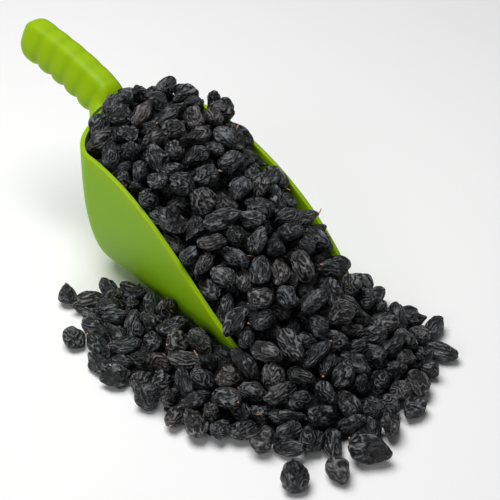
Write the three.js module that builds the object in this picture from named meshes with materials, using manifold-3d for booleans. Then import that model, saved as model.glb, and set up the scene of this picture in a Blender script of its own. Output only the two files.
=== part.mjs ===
// A green plastic scoop with a grooved handle, heaped with black raisins that run out over its lip.
// Millimetres, +Z up. The origin is on the table, under the middle of the scoop's flat underside. The mouth
// faces -Y and the handle points along +Y.
import * as THREE from 'three';
import { mergeVertices } from 'three/addons/utils/BufferGeometryUtils.js';
import Module from 'manifold-3d';

const wasm = await Module();
wasm.setup();

// Scoop: a trough of superelliptic section with a round back, whose rim falls to a thin lip.
const scoopLength = 160;
const scoopDepth = 77;
const backHalfWidth = 37.3;
const mouthHalfWidth = 46.9;
const sectionPower = 3.2;
const backLength = 28;
const backPower = 1.8;
const levelRim = 30;
const rimPower = 1.9;
const wallThickness = 2.4;
const lipThickness = 1.2;
const lipHeight = 2.4;
const lipTaper = 30;
const flatUnderside = 0.3;
const rimRise = 7;
const rimRiseHalfWidth = 21;
const rimRiseLength = 14;
const backRowShare = 0.3;
const scoopRows = 24;
const scoopColumns = 23;

// Handle: a bar with finger grooves, bent a little, that leaves the back wall at the rim.
const handleLength = 73;
const handleHalfWidth = 10.9;
const handleHalfHeight = 11.1;
const handleRootHeight = 80;
const handleRootY = 77.9;
const handleRootAngle = 19;
const handleEndAngle = 7;
const handleBendLength = 52;
const handleSectionPower = 3.6;
const handleTopTaper = 0.32;
const handleEndRound = 12;
const handleRootRound = 9;
const handleRootDip = 0.4;
const groovePitch = 11.6;
const firstGroove = 8;
const grooveCount = 5;
const grooveDepth = 1.1;
const grooveHalfWidth = 2.6;
const handleRings = 32;
const handleSides = 16;

// Raisins: sizes, the rows they are scattered in, and how far apart they are pushed as they settle.
const raisinHalfLength = 8.3;
const raisinHalfWidth = 5.3;
const raisinSeed = 4904;
const columnPitch = 10.8;
const rowPitch = 9.2;
const scatterLeft = -98;
const scatterBack = 86;
const scatterWidth = 190;
const scatterDepth = 250;
const topDepth = 5.6;
const layerDepth = 8.2;
const thinnestLayered = 19;
const settleSteps = 70;
const coveredRim = 128;
const edgeInset = 8;

// The heap: its crest over the rim, how far below the rim it lies along the walls, and how full its
// shoulders are. Its back part, up to frontFrom, leans to the right and covers the right rim.
const crestAtBack = 18;
const crestAtMouth = 33;
const backLean = 8;
const frontFrom = 52;
const frontTo = 78;
const leftPowerAtBack = 1.6;
const leftPowerAtFront = 2.3;
const rightPowerAtBack = 2.8;
const rightPowerAtFront = 1.8;
const leftBelowRim = 7;
const rightOverRimAtBack = 4;
const rightBelowRimAtFront = 12;
const backFall = 17;

// The spill: one raisin high at its edge, and higher inwards and to the mouth.
const edgeHeight = 11.5;
const edgeWidth = 12;
const spillSlope = 0.46;
const spillBackHeight = 14;
const spillRise = 0.17;
const spillBack = 45;

// Solids.
const clearance = 0.3;
const facetSwell = 1.05;
const rootDepth = 5.8;
const coreRows = 10;
const coreColumns = 10;
const heapCeiling = 110;
const heapFront = -82;
const smallestScrap = 60;
const lowerSteps = 5;
const tableSize = 400;

// The spill's edge on the table, from behind the scoop's left side round to its right side, then back
// inside.
const spillOutline = [
  [-34, 40], [-45, 50], [-56, 43], [-70, 32], [-85, 14], [-87, -4], [-84, -28], [-89, -54], [-88, -76],
  [-82, -90], [-67, -93], [-64, -112], [-51, -124], [-36, -133], [-2, -138], [14, -131], [34, -130],
  [56, -118], [68, -100], [66, -76], [56, -56], [30, -60], [0, 0],
];
const openEdges = spillOutline.length - 3;

// Raisins that lie apart on the table: place, heading in degrees, half length and half width.
const strays = [
  [-60.5, 46, 60, 7.4, 4.9],
  [-66, -128, 50, 8.7, 6.6],
  [-48.5, -138.5, 65, 7.3, 5.6],
  [-28, -139, 115, 10.4, 8],
];

// Raisins that stand or lie high on the heap: centre, heading and lean in degrees, and half sizes.
const placedRaisins = [
  [36, 39.5, 83, 130, 84, 8.1, 5.2, 3.2],
  [38, 33, 82, 130, 76, 6.8, 6, 3.7],
  [-6, 70, 86, 20, 10, 8.2, 5, 4.2],
  [3, 69.5, 87.5, 100, -15, 7.6, 5.2, 4.4],
  [21, 58, 82, 60, 10, 7.8, 5.2, 4.4],
];

// A dip in the heap's top layer: centre and radius.
const bareX = 33;
const bareY = 44;
const bareRadius = 8;

const smooth = (t) => {
  const s = Math.min(1, Math.max(0, t));
  return s * s * (3 - 2 * s);
};

const { lerp, degToRad } = THREE.MathUtils;

const signedPower = (value, power) => Math.sign(value) * Math.abs(value) ** power;

// Random numbers from 0 to 1 that are the same on every run.
function randomSource(seed) {
  let state = seed;
  return () => {
    state = (state + 0x6d2b79f5) >>> 0;
    let t = Math.imul(state ^ (state >>> 15), state | 1);
    t ^= t + Math.imul(t ^ (t >>> 7), t | 61);
    return ((t ^ (t >>> 14)) >>> 0) / 4294967296;
  };
}

// The closed solid of a three.js geometry, and back again.
function solidOf(geometry) {
  const bare = geometry.clone();
  bare.deleteAttribute('normal');
  bare.deleteAttribute('uv');
  const merged = mergeVertices(bare, 1e-4);
  const index = merged.index.array;
  const kept = [];
  for (let i = 0; i < index.length; i += 3) {
    const [a, b, c] = [index[i], index[i + 1], index[i + 2]];
    if (a !== b && b !== c && c !== a) kept.push(a, b, c);
  }
  return new wasm.Manifold(new wasm.Mesh({
    numProp: 3,
    vertProperties: new Float32Array(merged.attributes.position.array),
    triVerts: new Uint32Array(kept),
  }));
}

function geometryOf(solid) {
  const mesh = solid.getMesh();
  const positions = new Float32Array((mesh.vertProperties.length / mesh.numProp) * 3);
  for (let i = 0; i < positions.length / 3; i++) {
    for (let k = 0; k < 3; k++) positions[i * 3 + k] = mesh.vertProperties[i * mesh.numProp + k];
  }
  const geometry = new THREE.BufferGeometry();
  geometry.setAttribute('position', new THREE.BufferAttribute(positions, 3));
  geometry.setIndex(new THREE.BufferAttribute(new Uint32Array(mesh.triVerts), 1));
  geometry.computeVertexNormals();
  return geometry;
}

function shape(geometry, place) {
  const position = geometry.attributes.position;
  for (let i = 0; i < position.count; i++) {
    position.setXYZ(i, ...place(position.getX(i), position.getY(i), position.getZ(i)));
  }
  return geometry;
}

// Measures of the trough at u, the distance from its back along its length.
const uOf = (y) => scoopLength / 2 - y;

const wallAt = (u) => wallThickness + (lipThickness - wallThickness)
  * smooth((u - scoopLength + lipTaper) / lipTaper);

const halfWidthAt = (u) => backHalfWidth + ((mouthHalfWidth - backHalfWidth) * u) / scoopLength;

const backRound = (u, start) => {
  const back = Math.min(1, Math.max(0, (backLength - u) / (backLength - start)));
  return (1 - back ** backPower) ** (1 / backPower);
};

function rimAt(u) {
  const t = Math.min(1, Math.max(0, (u - levelRim) / (scoopLength - levelRim)));
  return lipHeight + (scoopDepth - lipHeight) * (1 - t ** rimPower);
}

// The rim sweeps up to the handle in the middle of the back.
const rimSweep = (u, x) => rimRise
  * (1 - smooth(Math.abs(x) / rimRiseHalfWidth)) * (1 - smooth(u / rimRiseLength));

// How far out a point lies: under 1 inside the trough, 1 on its wall, over 1 outside. inset moves the wall
// in.
function troughNorm(x, y, z, inset) {
  const u = uOf(y);
  const across = Math.abs(x) / (halfWidthAt(u) - inset);
  const down = Math.max(0, scoopDepth - z) / (scoopDepth - inset);
  const back = Math.max(0, (backLength - u) / (backLength - inset));
  const section = (across ** sectionPower + down ** sectionPower) ** (1 / sectionPower);
  return (section ** backPower + back ** backPower) ** (1 / backPower);
}

// The trough's wall, a flat slab bent into shape: its width goes round from the left rim to the right one,
// its depth along from the back to the lip. grow thickens it on both sides.
function makeTrough(grow) {
  const slab = new THREE.BoxGeometry(1, 1, 1, scoopColumns, 1, scoopRows);
  const top = scoopDepth + grow;
  shape(slab, (px, py, pz) => {
    const along = pz + 0.5;
    const outside = py < 0;
    const inset = outside ? -grow : wallAt(scoopLength * along) + grow;
    const end = scoopLength + grow;
    const backTurn = Math.min(1, along / backRowShare) * (Math.PI / 2);
    const u = along < backRowShare
      ? inset + (backLength - inset) * (1 - Math.cos(backTurn))
      : backLength + ((end - backLength) * (along - backRowShare)) / (1 - backRowShare);
    const round = backRound(u, inset);
    const halfWidth = (halfWidthAt(u) - inset) * round;
    const depth = (top - inset) * round;
    const cut = Math.max(0, top - rimAt(u) - grow) / Math.max(depth, 1e-9);
    const rimTurn = Math.asin(Math.min(1, cut ** (sectionPower / 2)));
    const turn = rimTurn + (px + 0.5) * (Math.PI - 2 * rimTurn);
    const x = -signedPower(Math.cos(turn), 2 / sectionPower) * halfWidth;
    const z = top - depth * Math.abs(Math.sin(turn)) ** (2 / sectionPower);
    const flat = (Math.max(flatUnderside, z + grow) - flatUnderside)
      * (scoopDepth / (scoopDepth - flatUnderside)) - grow;
    const lift = rimSweep(u, x) * smooth((2 * z) / scoopDepth - 1);
    return [x, scoopLength / 2 - u, (outside ? flat : z) + lift];
  });
  return solidOf(slab);
}

// The handle, a cylinder whose rings follow a bent line and whose section is nearly square, with a
// narrower top.
function makeHandle(grow) {
  const bar = new THREE.CylinderGeometry(1, 1, 1, handleSides, handleRings);
  const step = handleLength / handleRings;
  const rings = [];
  let y = handleRootY;
  let z = handleRootHeight;
  for (let i = 0; i <= handleRings; i++) {
    const bend = smooth((i * step) / handleBendLength);
    const angle = degToRad(handleRootAngle + (handleEndAngle - handleRootAngle) * bend);
    rings.push([y, z, angle]);
    y += step * Math.cos(angle);
    z += step * Math.sin(angle);
  }
  shape(bar, (px, py, pz) => {
    const ring = Math.round((py + 0.5) * handleRings);
    const [ringY, ringZ, angle] = rings[ring];
    const distance = ring * step;
    const radius = Math.hypot(px, pz);
    const turn = Math.atan2(px, pz);
    const side = signedPower(Math.sin(turn), 2 / handleSectionPower);
    const up = signedPower(Math.cos(turn), 2 / handleSectionPower);
    const fromEnd = Math.max(0, 1 - (handleLength - distance) / handleEndRound);
    const fromRoot = Math.max(0, 1 - distance / handleRootRound);
    let groove = 0;
    for (let i = 0; i < grooveCount; i++) {
      const off = (distance - firstGroove - i * groovePitch) / grooveHalfWidth;
      groove += Math.exp(-(off ** 2));
    }
    const under = 0.22 + 0.78 * smooth((0.35 - up) / 1.1);
    const size = (1 - (grooveDepth / handleHalfWidth) * groove * under)
      * (1 - fromEnd ** 2.4) ** (1 / 2.4) * (1 - 0.08 * fromRoot ** 2);
    const taper = 1 - handleTopTaper * smooth((up + 0.35) / 1.2);
    const sideways = radius * side * (handleHalfWidth * taper * size + grow);
    const dip = 1 - handleRootDip * fromRoot ** 2 * smooth(2 * up);
    const upwards = radius * up * (handleHalfHeight * size * dip + grow);
    const lengthwise = ring === 0 ? -grow : ring === handleRings ? grow : 0;
    return [sideways, ringY + lengthwise - upwards * Math.sin(angle), ringZ + upwards * Math.cos(angle)];
  });
  return solidOf(bar);
}

// The spill's outline on the table, and the height of the raisins there and in the trough.
function insideSpill(x, y) {
  let inside = false;
  spillOutline.forEach(([ax, ay], i) => {
    const [bx, by] = spillOutline[(i + 1) % spillOutline.length];
    if ((ay > y) !== (by > y) && x < ((bx - ax) * (y - ay)) / (by - ay) + ax) inside = !inside;
  });
  return inside;
}

function spillEdgeDistance(x, y) {
  let nearest = Infinity;
  for (let i = 0; i < openEdges; i++) {
    const [ax, ay] = spillOutline[i];
    const [bx, by] = spillOutline[i + 1];
    const t = ((x - ax) * (bx - ax) + (y - ay) * (by - ay)) / ((bx - ax) ** 2 + (by - ay) ** 2);
    const s = Math.min(1, Math.max(0, t));
    nearest = Math.min(nearest, Math.hypot(x - ax - s * (bx - ax), y - ay - s * (by - ay)));
  }
  return nearest;
}

function spillHeight(x, y) {
  const rising = edgeHeight + spillSlope * Math.max(0, spillEdgeDistance(x, y) - edgeWidth);
  return Math.min(rising, spillBackHeight + spillRise * Math.max(0, spillBack - y));
}

function heapHeight(x, y) {
  const u = uOf(y);
  const rim = rimAt(u);
  const crest = rim + lerp(crestAtBack, crestAtMouth, smooth((u - 90) / 70));
  const front = smooth((u - frontFrom) / (frontTo - frontFrom));
  const lean = backLean * (1 - front);
  const isRight = x > lean;
  const below = isRight
    ? lerp(-rightOverRimAtBack, rightBelowRimAtFront, front)
    : leftBelowRim * smooth((u - 8) / 16);
  const power = isRight
    ? lerp(rightPowerAtBack, rightPowerAtFront, front)
    : lerp(leftPowerAtBack, leftPowerAtFront, front);
  const edge = Math.max(rim - below, spillHeight(x, y) - 1);
  const reach = halfWidthAt(u) + (isRight ? -lean : lean);
  const bulge = 1 - Math.min(1, Math.abs(x - lean) / reach) ** power;
  return edge + (Math.max(crest, edge) - edge - backFall * (1 - smooth(u / 22))) * bulge;
}

const surfaceUnder = (raisin, x, y) => (raisin.inTrough ? heapHeight(x, y) : spillHeight(x, y))
  - topDepth - raisin.layer * layerDepth;

// Scatter two layers of raisins in rough rows over the trough and the spill, headed every way.
function scatterRaisins() {
  const random = randomSource(raisinSeed);
  const raisins = [];
  for (let layer = 0; layer < 2; layer++) {
    for (let row = 0; row * rowPitch < scatterDepth; row++) {
      for (let column = 0; column * columnPitch < scatterWidth; column++) {
        const draw = Array.from({ length: 10 }, random);
        const offset = 0.5 * ((row + layer) % 2);
        const x = scatterLeft + (column + offset + 0.5 * (draw[0] - 0.5)) * columnPitch;
        const y = scatterBack - (row + 0.4 * layer + 0.5 * (draw[1] - 0.5)) * rowPitch;
        const sunk = layer * layerDepth;
        const behindLip = y > -scoopLength / 2;
        const inTrough = behindLip && troughNorm(x, y, heapHeight(x, y) - sunk, wallThickness + 1) < 1;
        const clearOfTrough = !behindLip || troughNorm(x, y, spillHeight(x, y) - sunk, 0) > 1;
        const inSpill = clearOfTrough && insideSpill(x, y) && spillEdgeDistance(x, y) > edgeInset;
        if (!inTrough && !inSpill) continue;
        const top = inTrough ? heapHeight(x, y) : spillHeight(x, y);
        if (layer === 1 && top < thinnestLayered) continue;
        if (layer === 0 && inTrough && Math.hypot(x - bareX, y - bareY) < bareRadius) continue;
        const isRound = draw[2] < 0.2;
        const halfLength = raisinHalfLength * (0.84 + 0.34 * draw[3]) * (isRound ? 0.9 : 1);
        const halfWidth = raisinHalfWidth * (0.84 + 0.32 * draw[4]) * (isRound ? 1.2 : 1);
        const halfThickness = halfWidth * (0.72 + 0.2 * draw[5]);
        const level = Math.max(halfThickness, top - topDepth - sunk + 4 * (draw[6] - 0.5));
        const heading = draw[7] * Math.PI * 2;
        const tilt = (draw[8] - 0.5) * (level > 12 ? 1.3 : 0.35);
        raisins.push({
          centre: new THREE.Vector3(x, y, level),
          axis: new THREE.Vector3(
            Math.cos(heading) * Math.cos(tilt), Math.sin(heading) * Math.cos(tilt), Math.sin(tilt)),
          halfLength,
          halfWidth,
          halfThickness,
          spin: draw[9] * Math.PI,
          inTrough,
          layer,
        });
      }
    }
  }
  strays.forEach(([x, y, degrees, halfLength, halfWidth]) => {
    const heading = degToRad(degrees);
    const halfThickness = 0.9 * halfWidth;
    raisins.push({
      centre: new THREE.Vector3(x, y, halfThickness),
      axis: new THREE.Vector3(Math.cos(heading), Math.sin(heading), 0),
      halfLength,
      halfWidth,
      halfThickness,
      spin: 0,
      inTrough: false,
      layer: 0,
    });
  });
  return raisins;
}

function placeRaisin([x, y, z, heading, lean, halfLength, halfWidth, halfThickness]) {
  const [around, upwards] = [degToRad(heading), degToRad(lean)];
  const axis = new THREE.Vector3(
    Math.cos(around) * Math.cos(upwards), Math.sin(around) * Math.cos(upwards), Math.sin(upwards));
  return {
    centre: new THREE.Vector3(x, y, z),
    axis,
    halfLength,
    halfWidth,
    halfThickness,
    spin: 0,
    inTrough: true,
    layer: 0,
  };
}

// How far a ball of a raisin must move to be clear of the table and the scoop's wall.
function pushOffWall(raisin, ball, radius) {
  const push = new THREE.Vector3(0, 0, 0.34 * Math.max(0, radius - ball.z));
  const u = uOf(ball.y);
  const over = raisin.inTrough && u < coveredRim ? radius : 2;
  if (u >= scoopLength || ball.z >= rimAt(u) + rimSweep(u, ball.x) + over) return push;
  const inset = raisin.inTrough ? wallAt(u) : 0;
  const norm = troughNorm(ball.x, ball.y, ball.z, inset);
  const slope = new THREE.Vector3(
    troughNorm(ball.x + 0.5, ball.y, ball.z, inset) - norm,
    troughNorm(ball.x, ball.y + 0.5, ball.z, inset) - norm,
    troughNorm(ball.x, ball.y, ball.z + 0.5, inset) - norm).multiplyScalar(2);
  const steep = Math.max(slope.length(), 1e-4);
  const outwards = raisin.inTrough ? -1 : 1;
  const lack = radius + clearance - (outwards * (norm - 1)) / steep;
  return lack > 0 ? push.addScaledVector(slope, (0.5 * outwards * lack) / steep) : push;
}

// Push the raisins clear of each other, of the wall and of the table, as they settle when poured. Each one
// is three balls in a row.
function settle(raisins) {
  const radius = raisins.map((r) => 0.47 * (r.halfWidth + r.halfThickness));
  for (let step = 0; step < settleSteps; step++) {
    const shift = raisins.map(() => new THREE.Vector3());
    const turn = raisins.map(() => new THREE.Vector3());
    const balls = raisins.map((r, i) => [-1, 0, 1].map(
      (k) => r.centre.clone().addScaledVector(r.axis, k * (r.halfLength - radius[i]))));
    for (let i = 0; i < raisins.length; i++) {
      for (let j = i + 1; j < raisins.length; j++) {
        const reach = raisins[i].halfLength + raisins[j].halfLength;
        if (raisins[i].centre.distanceTo(raisins[j].centre) > reach) continue;
        for (let a = 0; a < 3; a++) {
          for (let b = 0; b < 3; b++) {
            const push = new THREE.Vector3().subVectors(balls[i][a], balls[j][b]);
            const apart = Math.max(push.length(), 1e-6);
            const overlap = radius[i] + radius[j] - apart;
            if (overlap <= 0) continue;
            push.multiplyScalar((0.2 * overlap) / apart);
            shift[i].add(push);
            shift[j].sub(push);
            turn[i].addScaledVector(push, a - 1);
            turn[j].addScaledVector(push, 1 - b);
          }
        }
      }
    }
    raisins.forEach((r, i) => {
      balls[i].forEach((ball, k) => {
        const push = pushOffWall(r, ball, radius[i]);
        shift[i].add(push);
        turn[i].addScaledVector(push, k - 1);
      });
      const level = Math.max(r.halfThickness, surfaceUnder(r, r.centre.x, r.centre.y));
      shift[i].z += 0.12 * (level - r.centre.z);
      r.centre.add(shift[i].clampLength(0, 2));
      r.axis.addScaledVector(turn[i], 0.5 / r.halfLength).normalize();
    });
  }
  return raisins;
}

// One raisin: a ball with few sides, drawn out along its axis.
function makeRaisin(raisin, grow) {
  const ball = new THREE.IcosahedronGeometry(1, 0);
  ball.scale(
    raisin.halfWidth * facetSwell + grow,
    raisin.halfLength * facetSwell + grow,
    raisin.halfThickness * facetSwell + grow);
  ball.rotateY(raisin.spin);
  ball.applyQuaternion(new THREE.Quaternion().setFromUnitVectors(new THREE.Vector3(0, 1, 0), raisin.axis));
  ball.translate(...raisin.centre.toArray());
  return solidOf(ball);
}

// The mass of raisins that the top ones stand out of, in the trough and on the table round it. The one in
// the trough is the trough's hollow up to the heap's underlayer.
function makeHollow(grow) {
  const slab = new THREE.BoxGeometry(1, 1, 1, coreColumns, 1, coreRows);
  const inset = wallThickness + clearance - grow;
  const front = scoopLength / 2 - heapFront + grow;
  shape(slab, (px, py, pz) => {
    const u = inset + (front - inset) * (pz + 0.5) ** 2;
    const round = backRound(u, inset);
    const turn = (px + 0.5) * Math.PI;
    const x = -signedPower(Math.cos(turn), 2 / sectionPower) * (halfWidthAt(u) - inset) * round;
    const depth = (scoopDepth - inset) * round * Math.sin(turn) ** (2 / sectionPower);
    return [x, scoopLength / 2 - u, py < 0 ? scoopDepth - depth : heapCeiling];
  });
  return solidOf(slab);
}

function makeInnerHeap(grow) {
  const slab = new THREE.BoxGeometry(2 * mouthHalfWidth, scoopLength + 20, 1, 8, 14, 1);
  shape(slab, (x, y, pz) => {
    const level = heapHeight(x, Math.min(y, scoopLength / 2)) - rootDepth;
    return [x, y, pz < 0 ? -1 : level + grow];
  });
  return solidOf(slab).intersect(makeHollow(grow));
}

function makeOuterHeap() {
  const slab = new THREE.BoxGeometry(scatterWidth, scatterDepth, 1, 22, 28, 1);
  shape(slab, (px, py, pz) => {
    const x = px + scatterLeft + scatterWidth / 2;
    const y = py + scatterBack - scatterDepth / 2;
    const level = spillHeight(x, y) - rootDepth;
    const inTrough = y > heapFront && troughNorm(x, y, level, 0) < 1;
    const isBare = inTrough || !insideSpill(x, y) || spillEdgeDistance(x, y) < edgeInset / 2;
    return [x, y, pz < 0 ? -8 : isBare ? -4 : level];
  });
  return solidOf(slab);
}

const makeTable = () => solidOf(new THREE.BoxGeometry(tableSize, tableSize, 20).translate(0, 0, -10));

const bodiesOf = (solid) => solid.decompose()
  .filter((body) => body.volume() > smallestScrap)
  .sort((a, b) => b.volume() - a.volume());

// A raisin that ends up just over the table or over the other raisins lies on them.
function lowerOntoTable(body) {
  const gap = body.boundingBox().min[2];
  return gap < edgeHeight / 2 ? body.translate([0, 0, -gap]) : body;
}

function lowerOntoRaisins(body, others) {
  let lowered = body;
  for (let step = 0; step < lowerSteps; step++) {
    const gap = lowered.minGap(others, edgeHeight);
    lowered = lowered.translate([0, 0, -Math.max(0, gap - clearance)]);
  }
  return lowered;
}

const greenPlastic = new THREE.MeshStandardMaterial({ color: 0x86b418, roughness: 0.38, metalness: 0 });
const blackSkin = new THREE.MeshStandardMaterial({ color: 0x26272b, roughness: 0.72, metalness: 0 });

const group = new THREE.Group();

function addPiece(name, solid, material) {
  const mesh = new THREE.Mesh(geometryOf(solid), material.clone());
  mesh.name = name;
  group.add(mesh);
}

const raisins = [...settle(scatterRaisins()), ...placedRaisins.map(placeRaisin)];
const topRaisins = raisins.filter((raisin) => raisin.layer === 0);
const heaped = topRaisins.filter((raisin) => raisin.inTrough);
const spilled = topRaisins.filter((raisin) => !raisin.inTrough);
const aroundScoop = makeTrough(clearance).add(makeHandle(clearance));
const aroundHeap = wasm.Manifold.union(
  [makeInnerHeap(clearance), ...heaped.map((raisin) => makeRaisin(raisin, clearance))]);
const table = makeTable();

const [heap, ...looseInHeap] = bodiesOf(
  wasm.Manifold.union([makeInnerHeap(0), ...heaped.map((raisin) => makeRaisin(raisin, 0))])
    .subtract(aroundScoop)
    .subtract(table));
const [spill, ...looseOnTable] = bodiesOf(
  wasm.Manifold.union([makeOuterHeap(), ...spilled.map((raisin) => makeRaisin(raisin, 0))])
    .subtract(aroundScoop)
    .subtract(aroundHeap)
    .subtract(table));

const scoop = makeTrough(0).add(makeHandle(0));
addPiece('scoop', scoop, greenPlastic);
addPiece('raisins_heaped', heap, blackSkin);
addPiece('raisins_spilled', spill, blackSkin);
const loose = [
  ...looseInHeap.map((body) => lowerOntoRaisins(body, heap.add(spill).add(scoop))),
  ...looseOnTable.map(lowerOntoTable),
];
loose.forEach((body, i) => addPiece(`raisin_${String(i + 1).padStart(2, '0')}`, body, blackSkin));

export default group;
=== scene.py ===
# A green plastic scoop with a grooved handle, heaped with black raisins that run out over its lip.
# The tables are in millimetres, as the model is; every mesh is brought to metres when it is placed.
import bpy
import math
import random
import numpy as np
from mathutils import Matrix, Vector


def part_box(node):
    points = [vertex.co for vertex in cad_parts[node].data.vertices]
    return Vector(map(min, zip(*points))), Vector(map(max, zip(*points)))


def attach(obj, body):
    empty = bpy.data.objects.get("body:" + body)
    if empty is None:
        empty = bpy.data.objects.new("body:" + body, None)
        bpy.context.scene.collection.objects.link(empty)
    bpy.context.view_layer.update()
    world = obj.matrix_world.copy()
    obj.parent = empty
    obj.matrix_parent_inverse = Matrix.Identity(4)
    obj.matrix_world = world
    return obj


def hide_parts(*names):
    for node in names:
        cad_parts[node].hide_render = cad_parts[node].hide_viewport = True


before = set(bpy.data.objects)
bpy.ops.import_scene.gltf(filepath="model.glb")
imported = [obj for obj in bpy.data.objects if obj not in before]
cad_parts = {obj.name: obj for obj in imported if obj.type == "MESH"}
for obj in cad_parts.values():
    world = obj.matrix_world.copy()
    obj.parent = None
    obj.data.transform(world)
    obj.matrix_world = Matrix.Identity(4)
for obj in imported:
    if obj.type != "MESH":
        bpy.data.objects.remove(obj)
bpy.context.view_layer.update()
mm = 0.001
scene = bpy.context.scene
scene.view_settings.view_transform = "Standard"
print("frame loaded:", len(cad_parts), "solids")


# Small things that every piece uses

def clearSelection():
    if bpy.context.object and bpy.context.object.mode != "OBJECT":
        bpy.ops.object.mode_set(mode="OBJECT")
    bpy.ops.object.select_all(action="DESELECT")


def pick(*things):
    clearSelection()
    for thing in things:
        thing.select_set(True)
    bpy.context.view_layer.objects.active = things[0]


def applyModifiers(thing):
    pick(thing)
    for modifier in list(thing.modifiers):
        bpy.ops.object.modifier_apply(modifier=modifier.name)


def placesOf(thing):
    flat = np.empty(len(thing.data.vertices) * 3)
    thing.data.vertices.foreach_get("co", flat)
    return flat.reshape(-1, 3)


def moveTo(thing, places):
    thing.data.vertices.foreach_set("co", np.asarray(places, float).ravel())
    thing.data.update()


def giveAttribute(thing, name, values, kind="FLOAT"):
    attribute = thing.data.attributes.get(name) or thing.data.attributes.new(name, kind, "POINT")
    field = "vector" if kind == "FLOAT_VECTOR" else "value"
    attribute.data.foreach_set(field, np.asarray(values, np.float32).ravel())


def closeUp(thing, distance=1e-5):  # merge what meets, and turn the faces out
    pick(thing)
    bpy.ops.object.mode_set(mode="EDIT")
    bpy.ops.mesh.select_all(action="SELECT")
    bpy.ops.mesh.remove_doubles(threshold=distance)
    bpy.ops.mesh.normals_make_consistent(inside=False)
    bpy.ops.object.mode_set(mode="OBJECT")


def stand(piece, name, material, slotName, *nodes):  # last step of every piece
    piece.name = name
    piece.data.materials.clear()
    piece.data.materials.append(material)
    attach(piece, "root")
    if nodes:
        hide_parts(*nodes)
    return piece


def smoothStep(t):
    s = np.clip(t, 0, 1)
    return s * s * (3 - 2 * s)


def signedPower(value, power):
    return np.sign(value) * np.abs(value) ** power


# Shader maths

class Wire:
    def __init__(self, graph, socket):
        self.graph = graph
        self.socket = socket

    def math(self, operation, *inputs):
        return self.graph.add("Math", {"operation": operation}, list(inputs))

    def __add__(self, other):
        return self.math("ADD", self, other)

    def __radd__(self, other):
        return self.math("ADD", other, self)

    def __sub__(self, other):
        return self.math("SUBTRACT", self, other)

    def __rsub__(self, other):
        return self.math("SUBTRACT", other, self)

    def __mul__(self, other):
        return self.math("MULTIPLY", self, other)

    def __rmul__(self, other):
        return self.math("MULTIPLY", other, self)

    def wave(self):
        return self.math("SINE", self)


class Graph:
    def __init__(self, name):
        self.material = bpy.data.materials.new(name)
        self.material.use_nodes = True
        self.nodes = self.material.node_tree.nodes
        self.links = self.material.node_tree.links
        self.shader = self.nodes["Principled BSDF"]

    def feed(self, socket, value):
        if isinstance(value, Wire):
            self.links.new(value.socket, socket)
        elif socket.type == "RGBA" and len(value) == 3:
            socket.default_value = (*value, 1)
        else:
            socket.default_value = value

    def add(self, kind, settings=None, inputs=None, out=0):
        node = self.nodes.new("ShaderNode" + kind)
        for name, value in (settings or {}).items():
            setattr(node, name, value)
        pairs = enumerate(inputs) if isinstance(inputs, list) else (inputs or {}).items()
        for name, value in pairs:
            self.feed(node.inputs[name], value)
        return Wire(self, node.outputs[out])

    def attribute(self, name, out):
        return self.add("Attribute", {"attribute_name": name}, out=out)

    def mix(self, share, first, second):
        return self.add("Mix", {"data_type": "RGBA"}, {0: share, 6: first, 7: second}, out=2)

    def noise(self, place, scale, detail=3.0, roughness=0.5):
        return self.add("TexNoise", None, {
            "Vector": place, "Scale": scale, "Detail": detail, "Roughness": roughness})

    def span(self, value, low, high, toLow=0.0, toHigh=1.0):
        return self.add("MapRange", {"interpolation_type": "SMOOTHSTEP"}, {
            "Value": value, "From Min": low, "From Max": high, "To Min": toLow, "To Max": toHigh})

    def bump(self, height, distance, strength, under=None):
        inputs = {"Height": height, "Distance": distance, "Strength": strength}
        if under:
            inputs["Normal"] = under
        return self.add("Bump", None, inputs)

    def shade(self, **sockets):
        for name, value in sockets.items():
            words = "".join(" " + c if c.isupper() else c for c in name).strip().title()
            words = words.replace("Ior", "IOR")
            self.feed(self.shader.inputs[words], value)
        return self.material


# Finishes

plastic = {
    "wallColour": (0.232, 0.468, 0.002),
    "paintedLightColour": (0.280, 0.460, 0.0005),
    "paleColour": (0.30, 0.50, 0.01),
    "grooveShadeColour": (0.150, 0.300, 0.0005),
    "markColour": (0.10, 0.045, 0.004),
    "markPlace": (-0.004, 0.1465, 0.1005),
    "roughness": (0.42, 0.54),
}


def greenPlastic():
    g = Graph("greenPlastic")
    place = g.add("TexCoord", out=3)
    cloud = g.noise(place, 28.0, 3.0)
    grain = g.noise(place, 900.0, 2.0)
    scuff = g.noise(place, 160.0, 5.0, 0.65)
    # Painted light: a lighter green near the rim over the raisins, and halfway to it on the handle
    rim = g.attribute("paintedLightShare", 2)
    colour = g.mix(g.span(rim, 0.0, 1.0), plastic["wallColour"], plastic["paintedLightColour"])
    colour = g.mix(g.span(cloud, 0.35, 0.75, 0.0, 0.10), colour, plastic["paleColour"])
    colour = g.mix(g.span(scuff, 0.66, 0.80, 0.0, 0.12), colour, plastic["paleColour"])
    # Painted shade: the handle's grooves are painted darker, all the way round
    colour = g.mix(g.attribute("groove", 2) * 0.3, colour, plastic["grooveShadeColour"])
    # A dark brown spot painted on the handle near its end
    fromMark = g.add("VectorMath", {"operation": "DISTANCE"}, {0: place, 1: plastic["markPlace"]}, out=1)
    colour = g.mix(g.span(fromMark, 0.0010, 0.0042, 0.55, 0.0), colour, plastic["markColour"])
    low, high = plastic["roughness"]
    roughness = g.span(scuff * 0.6 + cloud * 0.4, 0.3, 0.7, low, high)
    normal = g.bump(grain * 0.5 + cloud, 0.00012, 0.35)
    return g.shade(baseColor=colour, roughness=roughness, normal=normal, specularIorLevel=0.16)


skin = {
    "paintedShadeColour": (0.0012, 0.0012, 0.0015),
    "blackColour": (0.0060, 0.0062, 0.0072),
    "coolBloomAndSheen": (0.215, 0.232, 0.255),
    "warmBloomAndSheen": (0.245, 0.236, 0.238),
    "brownColour": (0.030, 0.015, 0.014),
    "roughness": (0.40, 0.60),
    "wrinkleDepth": 0.0015,
    "grainDepth": 0.0010,
}


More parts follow.
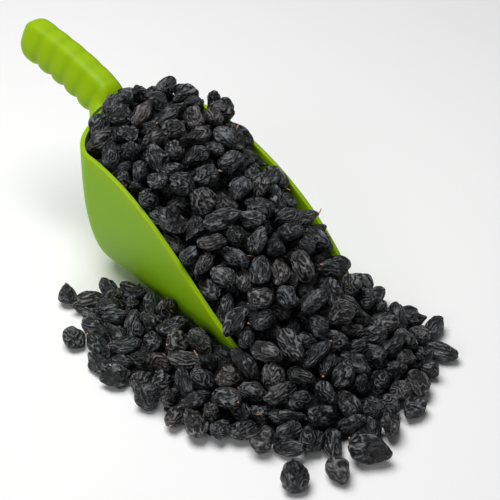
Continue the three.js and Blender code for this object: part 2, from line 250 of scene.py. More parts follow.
def raisinSkin():
    g = Graph("raisinSkin")
    place = g.attribute("skinPlace", 1)
    ridge = g.attribute("ridge", 2)
    tone = g.attribute("tone", 2)
    flow = g.noise(place, 0.8, 1.0)
    weave = g.noise(place, 2.1, 1.0)
    folds = (flow * 46 + weave * 11).wave()
    fine = g.noise(place, 6.5, 3.0, 0.65)
    calm = g.span(g.noise(place, 0.9, 1.0), 0.38, 0.62, 0.25, 1.0)
    dust = g.noise(place, 1.3, 4.0, 0.6)
    folds = folds * calm
    height = folds * 0.40 + fine * 1.5 - 0.25
    # Painted shade: the skin is painted darker down in its creases, where the folds are low
    colour = g.mix(g.span(height, 0.15, 0.95), skin["paintedShadeColour"], skin["blackColour"])
    colour = g.mix(g.span(tone, 0.95, 0.97, 0.0, 0.6), colour, skin["brownColour"])
    # Painted sheen with a real dusty coat: the grey coat raisins have, laid by the dust noise, and a painted
    # sheen lightening the high folds and outer bulges
    bloomAndSheen = g.span(height * 0.6 + dust * 0.8 + ridge * 0.25 + tone * 0.1, 0.84, 1.33, 0.0, 1.0)
    colour = g.mix(bloomAndSheen, colour, g.mix(g.span(tone, 0.4, 0.9), skin["coolBloomAndSheen"], skin["warmBloomAndSheen"]))
    # Painted shade: raisins of the under layer and the bed under them are painted close to black
    colour = g.mix(g.attribute("paintedDepthShade", 2), colour, skin["paintedShadeColour"])
    low, high = skin["roughness"]
    roughness = g.span(dust, 0.3, 0.7, low, high)
    coarse = g.bump(folds, skin["wrinkleDepth"], 1.0)
    normal = g.bump(fine, skin["grainDepth"], 1.0, coarse)
    return g.shade(baseColor=colour, roughness=roughness, normal=normal)


stalk = {
    "colour": (0.36, 0.160, 0.085),
    "paleColour": (0.62, 0.38, 0.24),
}


def stalkBark():
    g = Graph("stalkBark")
    place = g.add("TexCoord", out=3)
    grain = g.noise(place, 1400.0, 3.0, 0.6)
    colour = g.mix(g.span(grain, 0.35, 0.65), stalk["colour"], stalk["paleColour"])
    normal = g.bump(grain, 0.0002, 0.8)
    return g.shade(baseColor=colour, roughness=g.span(grain, 0.3, 0.7, 0.6, 0.8), normal=normal)


greenPlasticFinish = greenPlastic()
raisinSkinFinish = raisinSkin()
stalkFinish = stalkBark()
print("finishes made")


# The scoop: its measures at u, the distance from its back along its length

scoop = {
    "length": 160, "depth": 77, "backHalfWidth": 37.3, "mouthHalfWidth": 46.9, "sectionPower": 3.2,
    "backLength": 28, "backPower": 1.8, "levelRim": 30, "rimPower": 1.9, "wall": 2.4, "lipWall": 1.2,
    "lipHeight": 2.4, "lipTaper": 30, "flatUnderside": 0.3, "rimRise": 7, "rimRiseHalfWidth": 21,
    "rimRiseLength": 14, "backRowShare": 0.3, "rows": 110, "columns": 64, "rimBevel": 0.5,
}
handle = {
    "length": 73, "halfWidth": 10.9, "halfHeight": 11.1, "rootY": 77.9, "rootZ": 80, "rootAngle": 19,
    "endAngle": 7, "bendLength": 52, "sectionPower": 3.6, "topTaper": 0.32, "endRound": 12,
    "groovePitch": 11.6, "firstGroove": 8, "grooves": 5, "grooveDepth": 1.1, "grooveHalfWidth": 2.6,
    "rings": 150, "sides": 64, "flareLength": 9, "flare": 0.42, "rootDip": 0.4,
}


def wallAt(u):
    return scoop["wall"] + (scoop["lipWall"] - scoop["wall"]) * smoothStep(
        (u - scoop["length"] + scoop["lipTaper"]) / scoop["lipTaper"])


def halfWidthAt(u):
    return scoop["backHalfWidth"] + (scoop["mouthHalfWidth"] - scoop["backHalfWidth"]) * u / scoop["length"]


def backRound(u, start=0.0):
    back = np.clip((scoop["backLength"] - u) / (scoop["backLength"] - start), 0, 1)
    return (1 - back ** scoop["backPower"]) ** (1 / scoop["backPower"])


def rimAt(u):
    t = np.clip((u - scoop["levelRim"]) / (scoop["length"] - scoop["levelRim"]), 0, 1)
    return scoop["lipHeight"] + (scoop["depth"] - scoop["lipHeight"]) * (1 - t ** scoop["rimPower"])


def rimSweep(u, x):
    return (scoop["rimRise"] * (1 - smoothStep(np.abs(x) / scoop["rimRiseHalfWidth"]))
            * (1 - smoothStep(u / scoop["rimRiseLength"])))


def troughNorm(x, y, z, inset):  # under 1 inside the trough, over 1 outside
    u = scoop["length"] / 2 - y
    power, backPower = scoop["sectionPower"], scoop["backPower"]
    across = np.abs(x) / (halfWidthAt(u) - inset)
    down = np.maximum(0, scoop["depth"] - z) / (scoop["depth"] - inset)
    back = np.maximum(0, (scoop["backLength"] - u) / (scoop["backLength"] - inset))
    section = (across ** power + down ** power) ** (1 / power)
    return (section ** backPower + back ** backPower) ** (1 / backPower)


def makeTrough():
    clearSelection()
    bpy.ops.mesh.primitive_grid_add(
        x_subdivisions=scoop["columns"], y_subdivisions=scoop["rows"], size=1, location=(0, 0, 0))
    sheet = bpy.context.object
    px, py = placesOf(sheet)[:, 0], placesOf(sheet)[:, 1]
    along = np.clip(py + 0.5, 0, 1)
    share, backLength = scoop["backRowShare"], scoop["backLength"]
    backTurn = np.minimum(1, along / share) * math.pi / 2
    u = np.where(
        along < share,
        backLength * (1 - np.cos(backTurn)),
        backLength + (scoop["length"] - backLength) * (along - share) / (1 - share))
    depth = scoop["depth"] * backRound(u)
    cut = np.maximum(0, scoop["depth"] - rimAt(u)) / np.maximum(depth, 1e-9)
    rimTurn = np.arcsin(np.minimum(1, cut ** (scoop["sectionPower"] / 2)))
    turn = rimTurn + (px + 0.5) * (math.pi - 2 * rimTurn)
    x = -signedPower(np.cos(turn), 2 / scoop["sectionPower"]) * halfWidthAt(u) * backRound(u)
    z = scoop["depth"] - depth * np.abs(np.sin(turn)) ** (2 / scoop["sectionPower"])
    flat = scoop["flatUnderside"]
    lift = rimSweep(u, x) * smoothStep(2 * z / scoop["depth"] - 1)
    z = (np.maximum(flat, z) - flat) * scoop["depth"] / (scoop["depth"] - flat) + lift
    moveTo(sheet, np.stack([x, scoop["length"] / 2 - u, z], -1) * mm)
    closeUp(sheet, 2e-6)
    thin = sheet.vertex_groups.new(name="thickness")
    for i, place in enumerate(placesOf(sheet)):
        thin.add([i], float(wallAt(scoop["length"] / 2 - place[1] / mm) / scoop["wall"]), "REPLACE")
    skinning = sheet.modifiers.new("wall", "SOLIDIFY")
    skinning.thickness = scoop["wall"] * mm
    skinning.offset = -1
    skinning.use_even_offset = True
    skinning.vertex_group = "thickness"
    edge = sheet.modifiers.new("rim", "BEVEL")
    edge.limit_method = "ANGLE"
    edge.angle_limit = math.radians(50)
    edge.width = scoop["rimBevel"] * mm
    edge.segments = 3
    applyModifiers(sheet)
    return sheet


def handleLine():  # a point and an angle for each ring
    y, z = handle["rootY"], handle["rootZ"]
    step = handle["length"] / handle["rings"]
    line = []
    for i in range(handle["rings"] + 1):
        bend = smoothStep(i * step / handle["bendLength"])
        angle = math.radians(handle["rootAngle"] + (handle["endAngle"] - handle["rootAngle"]) * bend)
        line.append((y, z, angle))
        y += step * math.cos(angle)
        z += step * math.sin(angle)
    return np.array(line)


def grooveAt(distance):
    groove = 0
    for i in range(handle["grooves"]):
        off = distance - handle["firstGroove"] - i * handle["groovePitch"]
        groove = groove + np.exp(-(off / handle["grooveHalfWidth"]) ** 2)
    return groove


def makeHandle():
    clearSelection()
    rings, sides = handle["rings"], handle["sides"]
    bpy.ops.mesh.primitive_grid_add(x_subdivisions=sides, y_subdivisions=rings, size=1, location=(0, 0, 0))
    bar = bpy.context.object
    step = handle["length"] / rings
    line = handleLine()
    start = placesOf(bar)
    ring = np.rint((start[:, 1] + 0.5) * rings).astype(int)
    turn = (start[:, 0] + 0.5) * 2 * math.pi
    distance = ring * step
    side = signedPower(np.sin(turn), 2 / handle["sectionPower"])
    up = signedPower(np.cos(turn), 2 / handle["sectionPower"])
    fromEnd = np.maximum(0, 1 - (handle["length"] - distance) / handle["endRound"])
    fromRoot = np.maximum(0, 1 - distance / handle["flareLength"])
    groove = grooveAt(distance)
    under = 0.22 + 0.78 * smoothStep((0.35 - up) / 1.1)
    size = (1 - handle["grooveDepth"] / handle["halfWidth"] * groove * under) * (
        1 - np.minimum(1, fromEnd) ** 2.4) ** (1 / 2.4)
    size = size * (1 + handle["flare"] * fromRoot ** 2.2 * smoothStep((0.55 - up) / 0.7))
    taper = 1 - handle["topTaper"] * smoothStep((up + 0.35) / 1.2)
    sideways = side * handle["halfWidth"] * taper * size
    dip = 1 - handle["rootDip"] * fromRoot ** 2 * smoothStep(2 * up)
    upwards = up * handle["halfHeight"] * size * dip
    ringY, ringZ, angle = line[ring].T
    places = np.stack([sideways, ringY - upwards * np.sin(angle), ringZ + upwards * np.cos(angle)], -1)
    moveTo(bar, places * mm)
    closeUp(bar)
    bpy.ops.object.mode_set(mode="EDIT")
    bpy.ops.mesh.select_all(action="DESELECT")
    bpy.ops.mesh.select_mode(type="EDGE")
    bpy.ops.mesh.select_non_manifold()
    bpy.ops.mesh.edge_face_add()
    bpy.ops.mesh.select_all(action="SELECT")
    bpy.ops.mesh.normals_make_consistent(inside=False)
    bpy.ops.object.mode_set(mode="OBJECT")
    return bar


trough = makeTrough()
grip = makeHandle()
joining = trough.modifiers.new("handle", "BOOLEAN")
joining.operation = "UNION"
joining.solver = "EXACT"
joining.object = grip
applyModifiers(trough)
bpy.data.objects.remove(grip)
closeUp(trough)
pick(trough)
bpy.ops.object.shade_smooth_by_angle(angle=math.radians(38))
print("scoop made:", len(trough.data.polygons), "faces")


# The raisins: where each one lies. Two layers are scattered, and pushed clear of each other as they settle

heapShape = {
    "crestAtBack": 18, "crestAtMouth": 33, "lean": 8, "frontFrom": 52, "frontTo": 78,
    "leftPower": (1.6, 2.3), "rightPower": (2.8, 1.8), "leftBelowRim": 7, "rightBelowRim": (-4, 12),
    "backFall": 17, "edgeHeight": 11.5, "edgeWidth": 12, "slope": 0.46, "spillBackHeight": 14,
    "spillRise": 0.17, "spillBack": 45,
}
scatter = {
    "halfLength": 8.3, "halfWidth": 5.3, "seed": 4904, "columnPitch": 10.8, "rowPitch": 9.2, "left": -98,
    "back": 86, "width": 190, "depth": 250, "topDepth": 5.6, "layerDepth": 8.2, "thinnestLayered": 19,
    "steps": 70, "coveredRim": 128, "clearance": 0.3, "edgeInset": 8,
}
spillOutline = np.array([
    (-34, 40), (-45, 50), (-56, 43), (-70, 32), (-85, 14), (-87, -4), (-84, -28), (-89, -54), (-88, -76),
    (-82, -90), (-67, -93), (-64, -112), (-51, -124), (-36, -133), (-2, -138), (14, -131), (34, -130),
    (56, -118), (68, -100), (66, -76), (56, -56), (30, -60), (0, 0)], float)
openEdges = len(spillOutline) - 3
strays = [  # place, heading in degrees, half length and half width
    (-60.5, 46, 60, 7.4, 4.9),
    (-66, -128, 50, 8.7, 6.6),
    (-48.5, -138.5, 65, 7.3, 5.6),
    (-28, -139, 115, 10.4, 8),
]
placed = [  # centre, heading and lean in degrees, half length, width and thickness
    (36, 39.5, 83, 130, 84, 8.1, 5.2, 3.2),
    (38, 33, 82, 130, 76, 6.8, 6, 3.7),
    (-6, 70, 86, 20, 10, 8.2, 5, 4.2),
    (3, 69.5, 87.5, 100, -15, 7.6, 5.2, 4.4),
    (21, 58, 82, 60, 10, 7.8, 5.2, 4.4),
]
bareSpot = (33, 44, 8)  # centre and radius of a dip in the heap's top layer


def randomSource(seed):
    state = seed
    full = 0xFFFFFFFF
    while True:
        state = (state + 0x6D2B79F5) & full
        t = ((state ^ (state >> 15)) * (state | 1)) & full
        t ^= (t + ((t ^ (t >> 7)) * (t | 61) & full)) & full
        yield ((t ^ (t >> 14)) & full) / 4294967296


def insideSpill(x, y):
    inside = False
    for (ax, ay), (bx, by) in zip(spillOutline, np.roll(spillOutline, -1, 0)):
        if (ay > y) != (by > y) and x < (bx - ax) * (y - ay) / (by - ay) + ax:
            inside = not inside
    return inside


def spillEdgeDistance(x, y):
    nearest = np.full(np.shape(x), np.inf)
    for (ax, ay), (bx, by) in zip(spillOutline[:openEdges], spillOutline[1:]):
        t = np.clip(((x - ax) * (bx - ax) + (y - ay) * (by - ay)) / ((bx - ax) ** 2 + (by - ay) ** 2), 0, 1)
        nearest = np.minimum(nearest, np.hypot(x - ax - t * (bx - ax), y - ay - t * (by - ay)))
    return nearest


def spillHeight(x, y):
    h = heapShape
    rising = h["edgeHeight"] + h["slope"] * np.maximum(0, spillEdgeDistance(x, y) - h["edgeWidth"])
    return np.minimum(rising, h["spillBackHeight"] + h["spillRise"] * np.maximum(0, h["spillBack"] - y))


def heapHeight(x, y):
    h = heapShape
    u = scoop["length"] / 2 - y
    rim = rimAt(u)
    crest = rim + h["crestAtBack"] + (h["crestAtMouth"] - h["crestAtBack"]) * smoothStep((u - 90) / 70)
    front = smoothStep((u - h["frontFrom"]) / (h["frontTo"] - h["frontFrom"]))
    lean = h["lean"] * (1 - front)
    (leftBack, leftFront), (rightBack, rightFront) = h["leftPower"], h["rightPower"]
    belowBack, belowFront = h["rightBelowRim"]
    onRight = x > lean
    below = np.where(
        onRight, belowBack + (belowFront - belowBack) * front, h["leftBelowRim"] * smoothStep((u - 8) / 16))
    edge = np.maximum(rim - below, spillHeight(x, y) - 1)
    power = np.where(
        onRight, rightBack + (rightFront - rightBack) * front, leftBack + (leftFront - leftBack) * front)
    reach = halfWidthAt(u) - np.where(onRight, lean, -lean)
    bulge = 1 - np.minimum(1, np.abs(x - lean) / reach) ** power
    return edge + (np.maximum(crest, edge) - edge - h["backFall"] * (1 - smoothStep(u / 22))) * bulge


def axisOf(heading, tilt):
    return math.cos(heading) * math.cos(tilt), math.sin(heading) * math.cos(tilt), math.sin(tilt)


# A row has the place, the axis, half the length, width and thickness, the roll, whether it is in the trough,
# and the layer, 0 on top and 1 under it
def scatterRaisins():
    draws = randomSource(scatter["seed"])
    rows = []
    for layer in range(2):
        for row in range(math.ceil(scatter["depth"] / scatter["rowPitch"])):
            for column in range(math.ceil(scatter["width"] / scatter["columnPitch"])):
                draw = [next(draws) for _ in range(10)]
                offset = 0.5 * ((row + layer) % 2)
                x = scatter["left"] + (column + offset + 0.5 * (draw[0] - 0.5)) * scatter["columnPitch"]
                y = scatter["back"] - (row + 0.4 * layer + 0.5 * (draw[1] - 0.5)) * scatter["rowPitch"]
                sunk = layer * scatter["layerDepth"]
                heapTop, spillTop = heapHeight(x, y), spillHeight(x, y)
                behindLip = y > -scoop["length"] / 2
                inTrough = behindLip and troughNorm(x, y, heapTop - sunk, scoop["wall"] + 1) < 1
                clear = not behindLip or troughNorm(x, y, spillTop - sunk, 0) > 1
                if not inTrough and not (clear and insideSpill(x, y)
                                           and spillEdgeDistance(x, y) > scatter["edgeInset"]):
                    continue
                top = heapTop if inTrough else spillTop
                if layer == 1 and top < scatter["thinnestLayered"]:
                    continue
                if layer == 0 and inTrough and math.hypot(x - bareSpot[0], y - bareSpot[1]) < bareSpot[2]:
                    continue
                isRound = draw[2] < 0.2
                halfLength = scatter["halfLength"] * (0.84 + 0.34 * draw[3]) * (0.9 if isRound else 1)
                halfWidth = scatter["halfWidth"] * (0.84 + 0.32 * draw[4]) * (1.2 if isRound else 1)
                halfThickness = halfWidth * (0.72 + 0.2 * draw[5])
                level = max(halfThickness, top - scatter["topDepth"] - sunk + 4 * (draw[6] - 0.5))
                heading = draw[7] * math.pi * 2
                tilt = (draw[8] - 0.5) * (1.3 if level > 12 else 0.35)
                rows.append((x, y, level, *axisOf(heading, tilt), halfLength, halfWidth, halfThickness,
                             draw[9] * math.pi, inTrough, layer))
    for x, y, degrees, halfLength, halfWidth in strays:
        rows.append((x, y, 0.9 * halfWidth, *axisOf(math.radians(degrees), 0),
                     halfLength, halfWidth, 0.9 * halfWidth, 0, False, 0))
    return np.array(rows, float)


def placeByHand():
    rows = []
    for x, y, z, heading, lean, halfLength, halfWidth, halfThickness in placed:
        axis = axisOf(math.radians(heading), math.radians(lean))
        rows.append((x, y, z, *axis, halfLength, halfWidth, halfThickness, 0, True, 0))
    return np.array(rows, float)


def pushOffWall(balls, radius, inTrough):
    x, y, z = balls.T
    push = np.zeros_like(balls)
    push[:, 2] = 0.34 * np.maximum(0, radius - z)
    u = scoop["length"] / 2 - y
    over = np.where(inTrough & (u < scatter["coveredRim"]), radius, 2)
    near = (u < scoop["length"]) & (z < rimAt(u) + rimSweep(u, x) + over)
    inset = np.where(inTrough, wallAt(u), 0)
    norm = troughNorm(x, y, z, inset)
    slope = 2 * np.stack([
        troughNorm(x + 0.5, y, z, inset) - norm,
        troughNorm(x, y + 0.5, z, inset) - norm,
        troughNorm(x, y, z + 0.5, inset) - norm], -1)
    steep = np.maximum(np.linalg.norm(slope, axis=1), 1e-4)
    outwards = np.where(inTrough, -1, 1)
    lack = radius + scatter["clearance"] - outwards * (norm - 1) / steep
    share = np.where(near & (lack > 0), 0.5 * outwards * lack / steep, 0)
    return push + slope * share[:, None]


def settle(rows):
    centre, axis = rows[:, 0:3].copy(), rows[:, 3:6].copy()
    halfLength, halfWidth, halfThickness = rows[:, 6], rows[:, 7], rows[:, 8]
    inTrough, layer = rows[:, 10] > 0, rows[:, 11]
    radius = 0.47 * (halfWidth + halfThickness)
    lever = np.array([-1, 0, 1])
    for _ in range(scatter["steps"]):
        shift, turn = np.zeros_like(centre), np.zeros_like(centre)
        reach = lever[None, :] * (halfLength - radius)[:, None]
        balls = centre[:, None] + axis[:, None] * reach[:, :, None]
        apart = np.linalg.norm(centre[:, None] - centre[None], axis=2)
        first, second = np.nonzero(np.triu(apart <= halfLength[:, None] + halfLength[None], 1))
        for a in range(3):
            for b in range(3):
                push = balls[first, a] - balls[second, b]
                gap = np.maximum(np.linalg.norm(push, axis=1), 1e-6)
                overlap = np.maximum(0, radius[first] + radius[second] - gap)
                push = push * (0.2 * overlap / gap)[:, None]
                np.add.at(shift, first, push)
                np.add.at(shift, second, -push)
                np.add.at(turn, first, push * lever[a])
                np.add.at(turn, second, push * -lever[b])
        for k in range(3):
            push = pushOffWall(balls[:, k], radius, inTrough)
            shift += push
            turn += push * lever[k]
        x, y = centre[:, 0], centre[:, 1]
        surface = np.where(inTrough, heapHeight(x, y), spillHeight(x, y))
        level = np.maximum(halfThickness, surface - scatter["topDepth"] - layer * scatter["layerDepth"])
        shift[:, 2] += 0.12 * (level - centre[:, 2])
        length = np.linalg.norm(shift, axis=1)
        centre += shift * np.minimum(1, 2 / np.maximum(length, 1e-9))[:, None]
        axis += turn * (0.5 / halfLength)[:, None]
        axis /= np.linalg.norm(axis, axis=1)[:, None]
    rows = rows.copy()
    rows[:, 0:3], rows[:, 3:6] = centre, axis
    return rows


raisins = np.concatenate([settle(scatterRaisins()), placeByHand()])
print("raisins settled:", len(raisins), "of which on top", int((raisins[:, 11] == 0).sum()))


# The raisins' shapes: a few kinds are modelled once, as balls of one unit's radius, and copied

raisinKinds = {
    "count": 24, "seed": 11, "triangles": 3700, "trianglesUnder": 300, "drawnOut": 1.5,
    "bend": (0.2, 1.3), "taper": (-0.35, 0.35),
    "levels": [  # texture, its size, its stretch along the raisin, turbulence and depth
        ("CLOUDS", 1.00, 1.0, 0, 0.52),
        ("CREASES", 0.70, 2.2, 0, 0.13),
        ("RIDGES", 0.26, 1.6, 9, 0.032),
    ],
}


def foldTexture(kind, size, turbulence):
    if kind == "RIDGES":
        grain = bpy.data.textures.new("ridges", "WOOD")
        grain.wood_type = "BANDNOISE"
        grain.noise_basis_2 = "SIN"
        grain.turbulence = turbulence
    else:
        grain = bpy.data.textures.new("folds", "CLOUDS")
        grain.noise_depth = 0
        grain.noise_type = "HARD_NOISE" if kind == "CREASES" else "SOFT_NOISE"
    grain.noise_basis = "ORIGINAL_PERLIN"
    grain.noise_scale = size
    return grain


def makeKind(number):
    chance = random.Random(raisinKinds["seed"] + number)
    clearSelection()
    bpy.ops.mesh.primitive_ico_sphere_add(subdivisions=6, radius=1, location=(0, 0, 0))
    ball = bpy.context.object
    bpy.ops.transform.resize(value=(1, raisinKinds["drawnOut"], 0.92))
    bpy.ops.object.transform_apply(location=True, rotation=True, scale=True)
    guides = []
    for kind, size, stretch, turbulence, depth in raisinKinds["levels"]:
        guide = bpy.data.objects.new("guide", None)
        scene.collection.objects.link(guide)
        guide.location = [chance.uniform(-20, 20) for _ in range(3)]
        guide.rotation_euler = (0, chance.uniform(0, 6.28), 0)
        guide.scale = (1, stretch, 1)
        guides.append(guide)
        fold = ball.modifiers.new("fold", "DISPLACE")
        fold.texture = foldTexture(kind, size, turbulence)
        fold.texture_coords = "OBJECT"
        fold.texture_coords_object = guide
        fold.mid_level = 0.5
        fold.strength = depth * chance.uniform(0.7, 1.3)
    for method, axis, share in (("TAPER", "Y", "taper"), ("BEND", "Z", "bend")):
        bending = ball.modifiers.new(share, "SIMPLE_DEFORM")
        bending.deform_method = method
        bending.deform_axis = axis
        if method == "BEND":
            bending.angle = chance.uniform(*raisinKinds[share])
        else:
            bending.factor = chance.uniform(*raisinKinds[share])
    bpy.context.view_layer.update()
    applyModifiers(ball)
    for guide in guides:
        bpy.data.objects.remove(guide)
    places = placesOf(ball)
    places -= (places.max(0) + places.min(0)) / 2
    places /= np.percentile(np.abs(places), 99.8, axis=0)
    moveTo(ball, places)
    # How far out the surface bulges; the skin is painted greyer there, a painted sheen
    giveAttribute(ball, "ridge", smoothStep((np.linalg.norm(places, axis=1) - 0.62) / 0.42))
    giveAttribute(ball, "skinPlace", places * (1, 0.55, 1), "FLOAT_VECTOR")
    pick(ball)
    bpy.ops.object.shade_smooth()
    return ball


def thinned(ball, triangles):
    clearSelection()
    copy = ball.copy()
    copy.data = ball.data.copy()
    scene.collection.objects.link(copy)
    fewer = copy.modifiers.new("fewer", "DECIMATE")
    fewer.ratio = triangles / len(ball.data.polygons)
    applyModifiers(copy)
    return copy


fullKinds = [makeKind(i) for i in range(raisinKinds["count"])]
shownKinds = [thinned(ball, raisinKinds["triangles"]) for ball in fullKinds]
underKinds = [thinned(ball, raisinKinds["trianglesUnder"]) for ball in fullKinds[:6]]
for ball in fullKinds:
    bpy.data.objects.remove(ball)
print("raisin kinds modelled")


def turnOf(row):
    swing = Vector((0, 1, 0)).rotation_difference(Vector(row[3:6])).to_matrix()
    return swing @ Matrix.Rotation(row[9], 3, "Y")


def placeRaisin(row, number, chance):
    kinds = shownKinds if row[11] == 0 else underKinds
    source = kinds[chance.randrange(len(kinds))]
    copy = source.copy()
    copy.data = source.data.copy()
    scene.collection.objects.link(copy)
    flip = -1 if chance.random() < 0.5 else 1
    scale = np.array([row[7], row[6] * flip, row[8] * flip])
    turn = np.array(turnOf(row))
    local = placesOf(copy)
    places = (local * scale) @ turn.T + row[0:3]
    low = places[:, 2].min()
    isApart = not row[10] and low < (5.7 if apartOf[number] else 3)
    if isApart or low < 0:
        places[:, 2] -= low - 0.02
    moveTo(copy, places * mm)
    giveAttribute(copy, "tone", np.full(len(places), chance.random()))
    # Painted shade: raisins of the under layer are painted darker
    giveAttribute(copy, "paintedDepthShade", np.full(len(places), 0.65 if row[11] == 1 else 0))
    offset = [chance.uniform(-9, 9) for _ in range(3)]
    giveAttribute(copy, "skinPlace", local * (1, 0.55, 1) + offset, "FLOAT_VECTOR")
    return copy, places


# Raisins that are solids of their own in the frame stay pieces of their own
looseNodes = sorted(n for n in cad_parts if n.startswith("raisin_"))
apartOf = [None] * len(raisins)
for node in looseNodes:
    low, high = (np.array(corner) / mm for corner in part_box(node))
    for i, row in enumerate(raisins):
        if row[11] == 0 and np.all(row[0:3] > low - (1, 1, 4)) and np.all(row[0:3] < high + (1, 1, 6)):
            apartOf[i] = apartOf[i] or node

stem = {
    "chance": 0.25, "seed": 3, "radius": (0.55, 1.15), "height": (0.6, 1.3), "flatness": (0.3, 0.75),
    "stalks": 0.18, "stalkHeight": 4.2, "ragged": 0.0009,
}
chance = random.Random(7)
groups = {}
stemEnds = []
for i, row in enumerate(raisins):
    copy, places = placeRaisin(row, i, chance)
    if apartOf[i]:
        key = apartOf[i]
    elif row[11] == 1:
        key = "heapUnder" if row[10] else "spillUnder"
    elif row[10]:
        key = "heapBack" if row[1] > 20 else "heapMiddle" if row[1] > -36 else "heapFront"
    else:
        key = "spillLeft" if row[1] > -62 else "spillMiddle" if row[0] < -12 else "spillRight"
    groups.setdefault(key, []).append(copy)
    if row[11] == 0 and chance.random() < stem["chance"]:
        stemEnds.append((row, places))

for key, copies in groups.items():
    pick(*copies)
    if len(copies) > 1:
        bpy.ops.object.join()
    joined = copies[0]
    node = key if key in looseNodes else "raisins_heaped" if key.startswith("heap") else "raisins_spilled"
    name = "raisinApart" + key[-2:] if key in looseNodes else "raisins" + key[0].upper() + key[1:]
    stand(joined, name, raisinSkinFinish, "raisin_skin", node)
    print(name, len(copies), "raisins", len(joined.data.polygons), "triangles")
for ball in shownKinds + underKinds:
    bpy.data.objects.remove(ball)


# What the lowest raisins lie on: a lumpy sheet in the raisins' skin, painted almost black as shade, seen
# only as darkness in the gaps
bed = {"cell": 4, "heapDrop": 17, "spillDrop": 9.5, "edge": 10, "lumps": 1.6, "thickness": 2, "offWall": 5}


def makeBed(name, node, inTrough):
    clearSelection()
    across, along = int(scatter["width"] / bed["cell"]), int(scatter["depth"] / bed["cell"])
    bpy.ops.mesh.primitive_grid_add(x_subdivisions=across, y_subdivisions=along, size=1, location=(0, 0, 0))
    sheet = bpy.context.object
    bpy.ops.object.mode_set(mode="EDIT")
    bpy.ops.mesh.select_mode(type="VERT")
    bpy.ops.mesh.select_all(action="DESELECT")
    bpy.ops.object.mode_set(mode="OBJECT")
    grid = placesOf(sheet)
    x = scatter["left"] + (grid[:, 0] + 0.5) * scatter["width"]
    y = scatter["back"] + (grid[:, 1] - 0.5) * scatter["depth"]
    lump = bed["lumps"] * np.sin(0.71 * x + 0.4 * y) * np.sin(0.63 * y - 0.3 * x)
    if inTrough:
        z = heapHeight(x, y) - bed["heapDrop"] + lump
        kept = (y > -scoop["length"] / 2) & (troughNorm(x, y, z, bed["offWall"]) < 1) & (z > bed["offWall"])
    else:
        z = np.maximum(bed["thickness"] + 0.1, spillHeight(x, y) - bed["spillDrop"] + lump)
        clear = (y < -scoop["length"] / 2 - 1) | (troughNorm(x, y, z, -bed["thickness"]) > 1)
        inside = np.array([insideSpill(*place) for place in zip(x, y)])
        kept = clear & inside & (spillEdgeDistance(x, y) > bed["edge"])
    moveTo(sheet, np.stack([x, y, z], -1) * mm)
    for vertex, keep in zip(sheet.data.vertices, kept):
        vertex.select = not keep
    bpy.ops.object.mode_set(mode="EDIT")
    bpy.ops.mesh.delete(type="VERT")
    bpy.ops.mesh.select_all(action="SELECT")
    bpy.ops.mesh.extrude_region_move(TRANSFORM_OT_translate={"value": (0, 0, -bed["thickness"] * mm)})
    bpy.ops.object.mode_set(mode="OBJECT")
    closeUp(sheet, 1e-6)
    count = len(sheet.data.vertices)
    giveAttribute(sheet, "tone", np.full(count, 0.3))
    # Painted shade: the bed is painted almost black
    giveAttribute(sheet, "paintedDepthShade", np.full(count, 0.9))
    giveAttribute(sheet, "ridge", np.zeros(count))
    giveAttribute(sheet, "skinPlace", placesOf(sheet) / mm / 6, "FLOAT_VECTOR")
    pick(sheet)
    bpy.ops.object.shade_smooth()
    return stand(sheet, name, raisinSkinFinish, "raisin_skin", node)


makeBed("raisinsHeapDeep", "raisins_heaped", True)
makeBed("raisinsSpillDeep", "raisins_spilled", False)


# The scoop is painted lighter where its wall stands over the raisins, a painted glow for the light that
# comes through the thin plastic there, and halfway lighter on the handle as painted light
places = placesOf(trough) / mm
u = scoop["length"] / 2 - places[:, 1]
overHeap = smoothStep((places[:, 2] - rimAt(u) + 9) / 9)
onHandle = smoothStep((places[:, 1] - 80) / 4)
giveAttribute(trough, "paintedLightShare", np.maximum(overHeap, 0.5 * onHandle))
# Painted shade: how much darker each place on the handle is painted, by its groove
line = handleLine()
nearest = np.hypot(places[:, 1, None] - line[:, 0], places[:, 2, None] - line[:, 1]).argmin(1)
giveAttribute(trough, "groove", onHandle * grooveAt(nearest * handle["length"] / handle["rings"]))
stand(trough, "scoopWithHandle", greenPlasticFinish, "green_plastic", "scoop")


# Stem ends and stalks
stemChance = random.Random(stem["seed"])
ragged = bpy.data.textures.new("ragged", "CLOUDS")
ragged.noise_scale = stem["ragged"]


def makeStem(row, places):
    axis = Vector(row[3:6])
    tip = Vector(places[np.argmax(places @ np.array(axis))])
    isStalk = stemChance.random() < stem["stalks"]
    radius = stemChance.uniform(*stem["radius"]) * (0.55 if isStalk else 1)
    height = stem["stalkHeight"] if isStalk else stemChance.uniform(*stem["height"])
    lean = Vector([stemChance.uniform(-0.6, 0.6) for _ in range(3)])
    clearSelection()
    turn = (axis + lean).to_track_quat("Z", "Y").to_euler()
    bpy.ops.mesh.primitive_cone_add(
        vertices=10, radius1=radius * mm, radius2=0.6 * radius * mm, depth=height * mm,
        location=(tip + axis * height * 0.15) * mm, rotation=turn)
    nub = bpy.context.object
    nub.scale = (1, stemChance.uniform(*stem["flatness"]), 1)
    bpy.ops.object.transform_apply(location=True, rotation=True, scale=True)
    bpy.ops.object.mode_set(mode="EDIT")
    bpy.ops.mesh.select_all(action="SELECT")
    bpy.ops.mesh.subdivide(number_cuts=2)
    bpy.ops.object.mode_set(mode="OBJECT")
    roughening = nub.modifiers.new("ragged", "DISPLACE")
    roughening.texture = ragged
    roughening.texture_coords = "GLOBAL"
    roughening.strength = stem["ragged"]
    roughening.mid_level = 0.6
    applyModifiers(nub)
    return nub


stems = [makeStem(row, places) for row, places in stemEnds]
pick(*stems)
bpy.ops.object.join()
stemPiece = stems[0]
bpy.ops.object.shade_smooth()
stand(stemPiece, "raisinStemEnds", stalkFinish, "raisin_skin")
print("stem ends:", len(stemEnds))


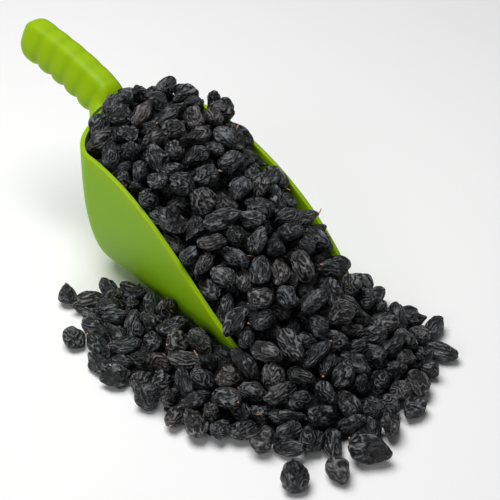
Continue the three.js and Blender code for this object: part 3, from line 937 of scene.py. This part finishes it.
# Floor, light and camera
stage = {
    "floorColour": (0.93, 0.93, 0.93), "patchColour": (0.95, 0.95, 0.95), "floorSize": 8,
    "worldStrength": 0.10,
    "lights": [  # name, place, target, size and power
        ("overhead", (-0.10, 0.22, 1.0), (0, 0, 0.03), 0.8, 10.6),
        ("window", (-0.95, -0.35, 0.6), (0, 0, 0.04), 0.6, 2.5),
    ],
}


def makeFloor():
    clearSelection()
    bpy.ops.mesh.primitive_plane_add(size=stage["floorSize"], location=(0, 0, 0))
    floor = bpy.context.object
    floor.name = "floor"
    g = Graph("floorPaint")
    place = g.add("TexCoord", out=3)
    colour = g.mix(g.noise(place, 6.0), stage["floorColour"], stage["patchColour"])
    floor.data.materials.append(g.shade(baseColor=colour, roughness=0.7))


def makeLight(name, place, target, size, power):
    lamp = bpy.data.lights.new(name, "AREA")
    lamp.shape = "DISK"
    lamp.size = size
    lamp.energy = power
    holder = bpy.data.objects.new(name, lamp)
    scene.collection.objects.link(holder)
    holder.location = place
    holder.rotation_euler = (Vector(target) - Vector(place)).to_track_quat("-Z", "Y").to_euler()


makeFloor()
world = bpy.data.worlds.new("studio")
scene.world = world
world.use_nodes = True
world.node_tree.nodes["Background"].inputs["Color"].default_value = (1, 1, 1, 1)
world.node_tree.nodes["Background"].inputs["Strength"].default_value = stage["worldStrength"]
for light in stage["lights"]:
    makeLight(*light)

cameraRig = {  # the centre is how far the picture's middle lies off the scoop's, in pixels
    "elevation": 38.2, "azimuth": -42.0, "distance": 0.825, "focalPixels": 1575.75, "centre": (36.4, 43.7),
    "picture": 500, "sensor": 36,
}


def makeCamera():
    e, a = math.radians(cameraRig["elevation"]), math.radians(cameraRig["azimuth"])
    right = Vector((math.cos(a), math.sin(a), 0))
    back = Vector((math.sin(a) * math.cos(e), -math.cos(a) * math.cos(e), math.sin(e)))
    up = back.cross(right)
    across, upward = cameraRig["centre"]
    forward = (-back * cameraRig["focalPixels"] + right * across + up * upward).normalized()
    data = bpy.data.cameras.new("camera")
    data.sensor_width = cameraRig["sensor"]
    data.lens = cameraRig["sensor"] * cameraRig["focalPixels"] / cameraRig["picture"]
    camera = bpy.data.objects.new("camera", data)
    scene.collection.objects.link(camera)
    side = forward.cross(up).normalized()
    turned = Matrix((side, side.cross(forward), -forward)).transposed()
    camera.matrix_world = Matrix.Translation(back * cameraRig["distance"]) @ turned.to_4x4()
    scene.camera = camera


makeCamera()
print("stage set")
